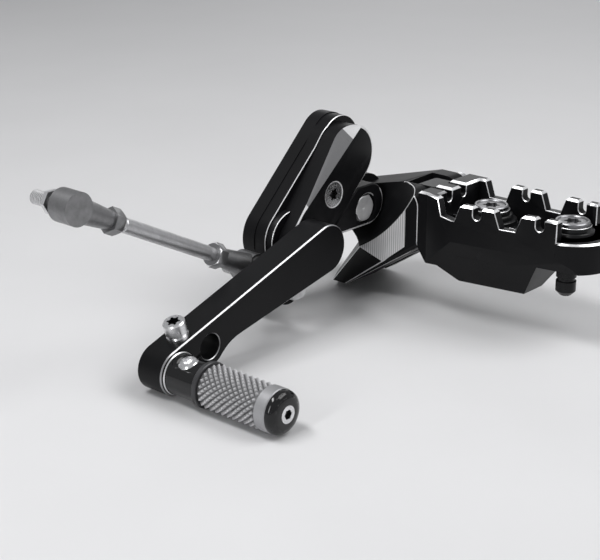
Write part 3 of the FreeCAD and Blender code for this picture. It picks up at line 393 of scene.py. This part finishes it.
def turned(name, colour, centres, axis, pitch, roughness=0.2, metal=1.0, recess=None):
    """Turned metal: fine rings about one axis or several, smears, specks, and painted shade in a screw's
    recess.
    """
    material, shader, place = new_finish(name, {"Metallic": metal, "Specular IOR Level": 0.3})
    radius = place.around(centres[0], axis)
    for centre in centres[1:]:
        radius = radius.maths("MINIMUM", radius, place.around(centre, axis))
    wobble = place.noise(size=0.003) * 0.00006
    rings = (radius + wobble).teeth(pitch)
    smears = place.noise(size=0.004, detail=4.0, rough=0.6)
    specks = place.noise(size=0.0007, detail=3.0, rough=0.7).ramp(0.62, 0.76)
    dull = smears.ramp(0.3, 0.75) * 0.6 + specks * 0.4
    tone = dull.blend(shade(colour, 1.08), shade(colour, 0.62))
    # A screw's recess is turned nearly black: painted shade.
    if recess:
        floor, width = recess
        painted_recess_shade = place.along(centres[0], axis).below(floor) * radius.below(width)
        tone = painted_recess_shade.blend(tone, shade(colour, 0.12))
    feed(shader, {
        "Base Color": tone,
        "Roughness": smears.ramp(0.3, 0.7, to_low=roughness, to_high=roughness + 0.14) + specks * 0.12,
        "Normal": rings.bump(depth=0.000012, strength=0.5),
    })
    return material


def threaded(name, colour, pitch, start, end, roughness=0.26, metal=1.0):
    """Steel with a screw thread between two distances inward from the mounting face, darker and rougher in the
    thread roots, plain elsewhere.
    """
    material, shader, place = new_finish(name, {"Metallic": metal})
    run = place.along(ORIGIN, INWARD)
    inside = run.above(start) * run.below(end)
    crest = run.teeth(pitch) * inside
    smears = place.noise(size=0.004, detail=4.0, rough=0.6)
    # The thread roots are made darker and rougher.
    thread_roots = (1.0 - crest) * inside
    dull = smears.ramp(0.3, 0.75) * 0.4 + thread_roots * 0.5
    feed(shader, {
        "Base Color": dull.blend(shade(colour, 1.08), shade(colour, 0.45)),
        "Roughness": smears.ramp(0.3, 0.7, to_low=roughness, to_high=roughness + 0.12) + thread_roots * 0.1,
        "Normal": crest.bump(depth=pitch * 0.5, strength=0.9),
    })
    return material


def knurled(name, colour, centre, axis, low, high):
    """Grey anodised knurl: the pyramids' tips are paled as painted highlight and the grooves darkened as
    painted shade.
    """
    material, shader, place = new_finish(name, {"Metallic": 0.5})
    height = place.around(centre, axis).ramp(low, high)
    blast = place.noise(size=0.00025, detail=2.0, rough=0.6)
    clouds = place.noise(size=0.012, detail=4.0)
    # The knurl's height pales the tips as painted highlight and darkens the grooves as painted shade.
    tone = height * 0.75 + clouds * 0.15 + blast * 0.1
    feed(shader, {
        "Base Color": tone.blend(shade(colour, 0.16), shade(colour, 1.65)),
        "Roughness": clouds.ramp(0.3, 0.7, to_low=0.44, to_high=0.52) - height * 0.1 + blast * 0.06,
        "Normal": blast.bump(depth=0.00003, strength=0.5),
    })
    return material


def rubber(name, colour):
    """Moulded rubber: matt, with a fine skin and a dusting of grey."""
    material, shader, place = new_finish(name, {"IOR": 1.5})
    skin = place.noise(size=0.0003, detail=3.0, rough=0.6)
    dust = place.noise(size=0.006, detail=4.0, rough=0.6).ramp(0.45, 0.8)
    feed(shader, {
        "Base Color": dust.blend(shade(colour, 1.0), shade(colour, 2.4)),
        "Roughness": dust.ramp(0.0, 1.0, to_low=0.55, to_high=0.75),
        "Normal": skin.bump(depth=0.00003, strength=0.6),
    })
    return material


def choices(context):
    """The sizes and the colours that the panel holds."""
    return context.scene.rearset_sizes, context.scene.rearset_finishes


def middle(node):
    """The middle of a solid's box."""
    low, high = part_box(node)
    return tuple((low + high) / 2)


def recess_in(node, axis, width):
    """Where the painted shade of a screw's recess starts, measured from the middle of its solid, and its
    radius.
    """
    centre = Vector(middle(node))
    crown = max((v.co - centre).dot(Vector(axis)) for v in frame["nodes"][node].data.vertices)
    return crown - RECESS_BELOW, width


def paint(material, *nodes):
    """Gives solids that keep their own shape a finish."""
    for node in nodes:
        slots = frame["nodes"][node].data.materials
        slots.clear()
        slots.append(material)


def merged(node):
    """A copy of a solid's mesh with its triangles joined into whole faces."""
    bm = bmesh.new()
    bm.from_mesh(frame["nodes"][node].data)
    bmesh.ops.remove_doubles(bm, verts=bm.verts, dist=MERGE_GAP)
    bmesh.ops.dissolve_limit(bm, angle_limit=math.radians(FLAT_ANGLE), verts=bm.verts, edges=bm.edges)
    return bm


def split(bm, faces, place, normal):
    """Cuts some faces along a plane, and gives the faces that they become."""
    edges = [edge for face in faces for edge in face.edges]
    corners = [vert for face in faces for vert in face.verts]
    geom = list(dict.fromkeys(faces + edges + corners))
    cut = bmesh.ops.bisect_plane(bm, geom=geom, plane_co=place, plane_no=normal)
    return [item for item in cut["geom"] if isinstance(item, bmesh.types.BMFace)]


def between(value, limits):
    """Whether a number lies inside a pair of limits."""
    return limits[0] < value < limits[1]


def mark_edges(bm, angle, picks):
    """Marks sharp outward edges for a chamfer, each by the width of the first test that takes it."""
    widest = max(width for width, test in picks)
    weight = bm.edges.layers.float.new("bevel_weight_edge")
    for edge in bm.edges:
        if edge.is_manifold and edge.is_convex and edge.calc_face_angle() > math.radians(angle):
            place = (edge.verts[0].co + edge.verts[1].co) / 2
            normals = [face.normal for face in edge.link_faces]
            edge[weight] = next((width / widest for width, test in picks if test(place, normals)), 0.0)
    return widest


def cut_chamfer(made, width):
    """Cuts a piece's marked edges and gives the cuts its bright material."""
    cut = made.modifiers.new("chamfer", "BEVEL")
    cut.limit_method = "WEIGHT"
    cut.width = width
    cut.segments = 1
    cut.profile = 0.5
    cut.material = BRIGHT
    cut.use_clamp_overlap = False
    graph = bpy.context.evaluated_depsgraph_get()
    mesh = bpy.data.meshes.new_from_object(made.evaluated_get(graph))
    mesh.name = made.name
    made.data = mesh
    made.modifiers.clear()


def piece(bm, name, node, materials, chamfer=0.0):
    """Turns a mesh into a piece that stands for a solid and moves with its body."""
    mesh = bpy.data.meshes.new(name)
    bm.to_mesh(mesh)
    bm.free()
    for material in materials:
        mesh.materials.append(material)
    made = bpy.data.objects.new(name, mesh)
    bpy.context.scene.collection.objects.link(made)
    if chamfer:
        cut_chamfer(made, chamfer)
    made.data.shade_smooth()
    made.data.set_sharp_from_angle(angle=math.radians(SMOOTH_ANGLE))
    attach(made, frame["nodes"][node]["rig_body"])
    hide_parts(node)


class REARSET_OT_plates(bpy.types.Operator):
    """Peg bracket, lever carrier and cover plate in satin black with bright machined edges"""

    bl_idname = "rearset.plates"
    bl_label = "Plates"

    def execute(self, context):
        sizes, finishes = choices(context)
        black = anodised("plate_black", finishes.black, roughness=0.36)
        bright = machined("plate_edge", finishes.edge, roughness=0.3, metal=0.5)
        bare = milled("bare_facet", finishes.bare, sizes.milled_pitch)
        self.bracket(sizes, black, bright, bare)
        self.carrier(sizes, black, bright)
        self.cover(sizes, black, bright, machined("cover_facet", finishes.facet, roughness=0.42))
        return {"FINISHED"}

    def bracket(self, sizes, black, bright, bare):
        """The arm's low and top edges are cut bright, and the small kite on its front side stays bare."""
        bm = merged("peg_bracket")
        kite = [f for f in bm.faces
                if f.normal.x < -FRONT_FACING and abs(f.verts[0].co.x - KITE_CORNER.x) < SAME_PLACE]
        for place, normal in ((KITE_CORNER, KITE_LOW_SIDE), (KITE_END, Vector(OUT))):
            parts = split(bm, kite, place, normal.normalized())
            kite = [f for f in parts if (f.calc_center_median() - place).dot(normal) < 0.0]
        if not kite:
            raise RuntimeError("The bare facet wasn't found on the bracket's arm")
        for face in kite:
            face.material_index = SPECIAL

        def arm_end(at, normals):
            return at.y < ARM_END_Y and at.x < ARM_END_X

        def arm_side(at, normals):
            front = at.y < ARM_START_Y and at.x < ARM_FRONT_X
            return front and not ARM_LOW_Z <= at.z <= ARM_TOP_Z

        chamfer = mark_edges(bm, EDGE_ANGLE, [(sizes.plate_edge, arm_end), (sizes.plate_edge, arm_side)])
        piece(bm, "bracket_arm", "peg_bracket", [black, bright, bare], chamfer)

    def carrier(self, sizes, black, bright):
        """The lobe round the upper bolt has its own chamfer, and the plate's front edges are cut bright."""
        bm = merged("lever_carrier")
        for face in bm.faces:
            if between(face.normal.y, CHAMFER_LEAN) and face.normal.x - face.normal.z > LOBE_LOW_SIDE:
                face.material_index = BRIGHT

        def lobe_rim(at, normals):
            outer = at.y < PLATE_FACE_Y and min(n.y for n in normals) < -FLAT_FACING
            return outer and max(n.x - n.z for n in normals) > LOBE_LOW_SIDE

        def plate_rim(at, normals):
            return at.y > PLATE_FACE_Y and min(n.y for n in normals) < -FACING

        chamfer = mark_edges(bm, EDGE_ANGLE, [(sizes.rim_edge, lobe_rim), (sizes.plate_edge, plate_rim)])
        piece(bm, "carrier_plate", "lever_carrier", [black, bright], chamfer)

    def cover(self, sizes, black, bright, polished):
        """The rim's chamfer is bright, and the long facet on the leading edge is polished, with its two ends
        in the bright edge finish as painted highlight.
        """
        bm = merged("cover_plate")
        for face in bm.faces:
            if between(face.normal.y, CHAMFER_LEAN):
                face.material_index = BRIGHT
            elif between(face.normal.y, FACET_LEAN):
                face.material_index = SPECIAL
        facet = [f for f in bm.faces if f.material_index == SPECIAL]
        runs = [v.co.dot(COVER_RUN) for f in facet for v in f.verts]
        highlight_ends = (min(runs) + sizes.facet_tip_highlight, max(runs) - sizes.facet_top_highlight)
        for end in highlight_ends:
            facet = split(bm, facet, COVER_RUN * end, COVER_RUN)
        # The facet's two ends take the bright edge finish: painted highlight.
        for face in facet:
            if not between(face.calc_center_median().dot(COVER_RUN), highlight_ends):
                face.material_index = BRIGHT
        screw = Vector(middle("cover_screw"))

        def screw_rim(at, normals):
            return at.y < PLATE_FACE_Y and math.hypot(at.x - screw.x, at.z - screw.z) < COVER_SCREW_REACH

        def top_rim(at, normals):
            top = at.y < PLATE_FACE_Y and at.z > COVER_TOP_Z
            return top and max(n.z for n in normals) > COVER_TOP_LEAN

        chamfer = mark_edges(bm, EDGE_ANGLE, [(sizes.rim_edge, screw_rim), (sizes.rim_edge, top_rim)])
        piece(bm, "cover_face", "cover_plate", [black, bright, polished], chamfer)


class REARSET_OT_lever(bpy.types.Operator):
    """Shift lever in satin black with its chamfers left bright"""

    bl_idname = "rearset.lever"
    bl_label = "Shift lever"

    def execute(self, context):
        sizes, finishes = choices(context)
        hole = next(m for m in frame["record"]["mounts"] if m["name"] == "second_toe_hole")
        centre, radius = Vector(hole["pos_m"]), hole["dims"]["r_mm"] / 1000.0
        bm = merged("shift_lever")
        face_y = min(v.co.y for v in bm.verts)
        for face in bm.faces:
            if between(abs(face.normal.y), LEVER_LEAN):
                face.material_index = BRIGHT

        def hole_rim(at, normals):
            reach = math.hypot(at.x - centre.x, at.z - centre.z)
            return abs(at.y - face_y) < SAME_PLACE and reach < radius + HOLE_SLACK

        black = anodised("lever_black", finishes.black, roughness=0.33)
        chamfer = mark_edges(bm, HOLE_EDGE_ANGLE, [(sizes.plate_edge, hole_rim)])
        bright = machined("lever_edge", finishes.lever_line, roughness=0.3)
        piece(bm, "lever_bar", "shift_lever", [black, bright], chamfer)
        return {"FINISHED"}


class REARSET_OT_toe_peg(bpy.types.Operator):
    """Toe peg: glossy holder and cap, dark collar and grey knurled grip"""

    bl_idname = "rearset.toe_peg"
    bl_label = "Toe peg"

    def execute(self, context):
        sizes, finishes = choices(context)
        gloss = anodised("toe_gloss", finishes.gloss, roughness=0.10, grain=0.0004, coat=0.6)
        self.holder(gloss, machined("holder_edge", finishes.edge))
        self.cap(sizes, gloss)
        paint(anodised("toe_collar_grey", finishes.collar, roughness=0.34, metal=0.5), "toe_collar")
        paint(anodised("toe_ring_grey", finishes.ring, roughness=0.42, metal=0.6), "toe_ring")
        low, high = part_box("toe_grip")
        outer = (high.x - low.x) / 2
        grip = knurled("toe_knurl", finishes.knurl, middle("toe_grip"), OUT, outer - KNURL_DEPTH, outer)
        paint(grip, "toe_grip")
        cap_screw = turned("toe_screw_steel", finishes.steel, [middle("toe_screw")], OUT, sizes.turned_pitch,
                           recess=recess_in("toe_screw", OUT, TOE_RECESS_R))
        paint(cap_screw, "toe_screw")
        holder_screw = turned("holder_screw_steel", finishes.steel, [middle("holder_screw")], LEVER_UP,
                              sizes.turned_pitch, roughness=0.14)
        paint(holder_screw, "holder_screw")
        return {"FINISHED"}

    def holder(self, gloss, bright):
        """The holder's inner rim is cut bright."""
        bm = merged("toe_holder")
        for face in bm.faces:
            if between(face.normal.y, CHAMFER_LEAN) and face.calc_center_median().y > HOLDER_RIM_Y:
                face.material_index = BRIGHT
        piece(bm, "holder_body", "toe_holder", [gloss, bright])

    def cap(self, sizes, gloss):
        """The cap's turned rings are rounded into a dome."""
        limits = tuple(math.radians(angle) for angle in CAP_RING_ANGLES)
        bm = merged("toe_cap")
        rings = [e for e in bm.edges if e.is_manifold and e.is_convex and between(e.calc_face_angle(), limits)]
        bmesh.ops.bevel(bm, geom=rings, offset=sizes.cap_round, offset_type="OFFSET", affect="EDGES",
                        segments=CAP_STEPS, profile=0.5, material=-1)
        piece(bm, "cap_dome", "toe_cap", [gloss])


class REARSET_OT_shift_rod(bpy.types.Operator):
    """Shift rod with its ball ends, jam nuts and boots"""

    bl_idname = "rearset.shift_rod"
    bl_label = "Shift rod"

    def execute(self, context):
        sizes, finishes = choices(context)
        pitch = sizes.turned_pitch
        rear, front = Vector(middle("rear_boot")), Vector(middle("front_boot"))
        axis = (front - rear).normalized()
        centre = tuple((front + rear) / 2)
        balls = [middle("rear_ball_stud"), middle("front_ball_stud")]
        paint(turned("rod_silver", finishes.silver, [centre], tuple(axis), pitch, roughness=0.34), "shift_rod")
        sockets = turned("socket_grey", finishes.socket, balls, OUT, pitch, roughness=0.36)
        paint(sockets, "rear_socket", "front_socket")
        grey = turned("jam_nut_grey", finishes.socket, [centre], tuple(axis), pitch, roughness=0.3)
        bright = machined("jam_nut_edge", finishes.edge)
        for node, name in (("rear_jam_nut", "rear_nut"), ("front_jam_nut", "front_nut")):
            bm = merged(node)
            for face in bm.faces:
                if between(abs(face.normal.dot(axis)), NUT_LEAN):
                    face.material_index = BRIGHT
            piece(bm, name, node, [grey, bright])
        paint(rubber("boot_rubber", finishes.rubber), "rear_boot", "front_boot")
        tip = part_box("front_ball_stud")[1].y
        stud = threaded("front_stud_steel", finishes.steel, sizes.rod_pitch, tip - STUD_THREAD, tip)
        paint(stud, "front_ball_stud")
        paint(turned("rear_stud_steel", finishes.steel, balls[:1], OUT, pitch), "rear_ball_stud")
        return {"FINISHED"}


class REARSET_OT_foot_peg(bpy.types.Operator):
    """Foot peg with bright chamfers along its teeth, grip discs and feeler"""

    bl_idname = "rearset.foot_peg"
    bl_label = "Foot peg"

    def execute(self, context):
        sizes, finishes = choices(context)
        pitch = sizes.turned_pitch
        black = anodised("peg_black", finishes.black, roughness=0.28)
        bright = machined("peg_edge", finishes.edge)
        self.teeth(sizes, black, bright)
        for node, name in (("grip_disc_inner", "inner_disc"), ("grip_disc_outer", "outer_disc")):
            bm = merged(node)
            chamfer = mark_edges(bm, DISC_EDGE_ANGLE, [(sizes.disc_edge, self.upward)])
            rings = turned(name + "_black", finishes.black, [middle(node)], UP, pitch,
                           roughness=0.26, metal=0.0)
            piece(bm, name, node, [rings, bright], chamfer)
        discs = [middle("grip_disc_inner"), middle("grip_disc_outer")]
        paint(turned("grip_screw_steel", finishes.dark_steel, discs, UP, pitch, roughness=0.24), "grip_screws")
        feeler = turned("feeler_steel", finishes.black, [middle("peg_feeler")], UP, pitch,
                        roughness=0.22, metal=0.3)
        paint(feeler, "peg_feeler")
        return {"FINISHED"}

    @staticmethod
    def upward(at, normals):
        """Whether an edge borders a face that looks up."""
        return max(n.z for n in normals) > FACING

    def teeth(self, sizes, black, bright):
        """The teeth's tops have the widest chamfer, the nose a lesser one, flanks and valleys a fine line."""
        bm = merged("footpeg")
        top = max(v.co.z for v in bm.verts) - TOOTH_SLACK
        nose = min(v.co.y for v in bm.verts) + NOSE_REACH

        def tooth_top(at, normals):
            return at.z > top and self.upward(at, normals)

        def nose_shelf(at, normals):
            return at.y < nose and at.z > SHELF_Z and self.upward(at, normals)

        def flank(at, normals):
            return at.y < TEETH_Y and at.z > VALLEY_Z

        chamfer = mark_edges(bm, EDGE_ANGLE, [
            (sizes.tooth_edge, tooth_top), (sizes.shelf_edge, nose_shelf), (sizes.flank_edge, flank)])
        piece(bm, "peg_teeth", "footpeg", [black, bright], chamfer)


class REARSET_OT_fasteners(bpy.types.Operator):
    """Frame bolts, pivot, clamp bolt, hinge bolt, spring and bushes"""

    bl_idname = "rearset.fasteners"
    bl_label = "Bolts, pivot and spring"

    def execute(self, context):
        sizes, finishes = choices(context)
        steel, pitch = finishes.steel, sizes.turned_pitch
        bolts = threaded("frame_bolt_steel", steel, sizes.bolt_pitch, *BOLT_THREAD, roughness=0.4, metal=0.55)
        paint(bolts, "frame_bolts")
        for node in ("pivot_shaft", "retaining_washer", "retaining_screw"):
            paint(turned(node + "_steel", steel, [middle(node)], OUT, pitch), node)
        cover_screw = turned("cover_screw_steel", steel, [middle("cover_screw")], OUT, pitch,
                             recess=recess_in("cover_screw", OUT, COVER_RECESS_R))
        paint(cover_screw, "cover_screw")
        clamp = turned("clamp_bolt_steel", steel, [middle("clamp_bolt")], LEVER_UP, pitch, roughness=0.22,
                       recess=recess_in("clamp_bolt", LEVER_UP, CLAMP_RECESS_R))
        paint(clamp, "clamp_bolt", "clamp_washer")
        paint(turned("hinge_bolt_steel", steel, [middle("hinge_bolt")], REAR, pitch), "hinge_bolt")
        paint(machined("peg_spring_steel", finishes.spring, roughness=0.3), "peg_spring")
        bronze = turned("bush_bronze", finishes.bronze, [middle("bush_outer")], OUT, pitch, roughness=0.34)
        paint(bronze, "bush_outer", "bush_inner", "thrust_washer")
        return {"FINISHED"}


class REARSET_OT_stage(bpy.types.Operator):
    """Pale floor, soft lamps, pale surroundings and the camera"""

    bl_idname = "rearset.stage"
    bl_label = "Stage"

    def execute(self, context):
        self.floor(context)
        for name, (place, size, watts, spread) in LAMPS.items():
            self.lamp(context, name, place, size, watts, spread)
        self.surroundings(context)
        self.camera(context)
        context.scene.view_settings.view_transform = "Standard"
        return {"FINISHED"}

    def floor(self, context):
        """A wide matt floor just under the part."""
        material, shader, place = new_finish("stage_floor", {"IOR": 1.45, "Specular IOR Level": 0.1})
        mottle = place.noise(size=0.08, detail=4.0)
        colour = context.scene.rearset_finishes.floor
        feed(shader, {
            "Base Color": mottle.blend(shade(colour, 0.97), shade(colour, 1.03)),
            "Roughness": mottle.ramp(0.3, 0.7, to_low=0.55, to_high=0.65),
        })
        bm = bmesh.new()
        bmesh.ops.create_grid(bm, x_segments=1, y_segments=1, size=FLOOR_REACH)
        bmesh.ops.translate(bm, verts=bm.verts, vec=(0.0, 0.0, FLOOR_Z))
        mesh = bpy.data.meshes.new("stage_floor")
        bm.to_mesh(mesh)
        bm.free()
        mesh.materials.append(material)
        floor = bpy.data.objects.new("stage_floor", mesh)
        context.scene.collection.objects.link(floor)

    def lamp(self, context, name, place, size, watts, spread):
        """A soft oblong lamp that faces the part."""
        light = bpy.data.lights.new(name, "AREA")
        light.shape = "RECTANGLE"
        light.size, light.size_y = size
        light.energy = watts
        light.spread = math.radians(spread)
        lamp = bpy.data.objects.new(name, light)
        lamp.location = place
        lamp.rotation_euler = (LAMP_AIM - Vector(place)).to_track_quat("-Z", "Y").to_euler()
        context.scene.collection.objects.link(lamp)

    def surroundings(self, context):
        """A pale world that metal mirrors, and that lights the part only a little."""
        world = bpy.data.worlds.new("stage_world")
        world.use_nodes = True
        tree = world.node_tree
        rays = tree.nodes.new("ShaderNodeLightPath")
        seen = Value(tree, rays.outputs["Is Camera Ray"])
        for kind in ("Is Glossy Ray", "Is Transmission Ray"):
            seen = seen.maths("MAXIMUM", seen, Value(tree, rays.outputs[kind]))
        strength = seen.ramp(0.0, 1.0, to_low=WORLD_LIGHT, to_high=WORLD_SEEN)
        background = tree.nodes["Background"]
        background.inputs["Color"].default_value = WORLD_COLOUR
        tree.links.new(strength.socket, background.inputs["Strength"])
        context.scene.world = world

    def camera(self, context):
        """The photograph's angle: turned 48.5 degrees to the front and looking 20 degrees down."""
        lens = bpy.data.cameras.new("stage_camera")
        lens.lens = LENS_MM
        lens.sensor_fit = "HORIZONTAL"
        lens.sensor_width = SENSOR_MM
        lens.clip_start = NEAREST
        camera = bpy.data.objects.new("stage_camera", lens)
        camera.location = CAMERA_PLACE
        camera.rotation_euler = (math.radians(CAMERA_TILT), 0.0, math.radians(CAMERA_TURN))
        context.scene.collection.objects.link(camera)
        context.scene.camera = camera


OPERATORS = (REARSET_OT_stage, REARSET_OT_plates, REARSET_OT_lever, REARSET_OT_toe_peg, REARSET_OT_shift_rod,
             REARSET_OT_foot_peg, REARSET_OT_fasteners)


class REARSET_PT_panel(bpy.types.Panel):
    """Lists the rearset's pieces, sizes and colours"""

    bl_idname = "REARSET_PT_panel"
    bl_label = "Rearset"
    bl_space_type = "VIEW_3D"
    bl_region_type = "UI"
    bl_category = "Rearset"

    def draw(self, context):
        for operator in OPERATORS:
            self.layout.operator(operator.bl_idname)
        for group in choices(context):
            column = self.layout.column()
            for name in group.__annotations__:
                column.prop(group, name)


CLASSES = (RearsetSizes, RearsetFinishes, *OPERATORS, REARSET_PT_panel)


def register():
    for one in CLASSES:
        bpy.utils.register_class(one)
    bpy.types.Scene.rearset_sizes = bpy.props.PointerProperty(type=RearsetSizes)
    bpy.types.Scene.rearset_finishes = bpy.props.PointerProperty(type=RearsetFinishes)


def unregister():
    del bpy.types.Scene.rearset_finishes
    del bpy.types.Scene.rearset_sizes
    for one in reversed(CLASSES):
        bpy.utils.unregister_class(one)


def main():
    register()
    bpy.ops.rearset.stage()
    bpy.ops.rearset.plates()
    bpy.ops.rearset.lever()
    bpy.ops.rearset.toe_peg()
    bpy.ops.rearset.shift_rod()
    bpy.ops.rearset.foot_peg()
    bpy.ops.rearset.fasteners()


if __name__ == "__main__":
    main()
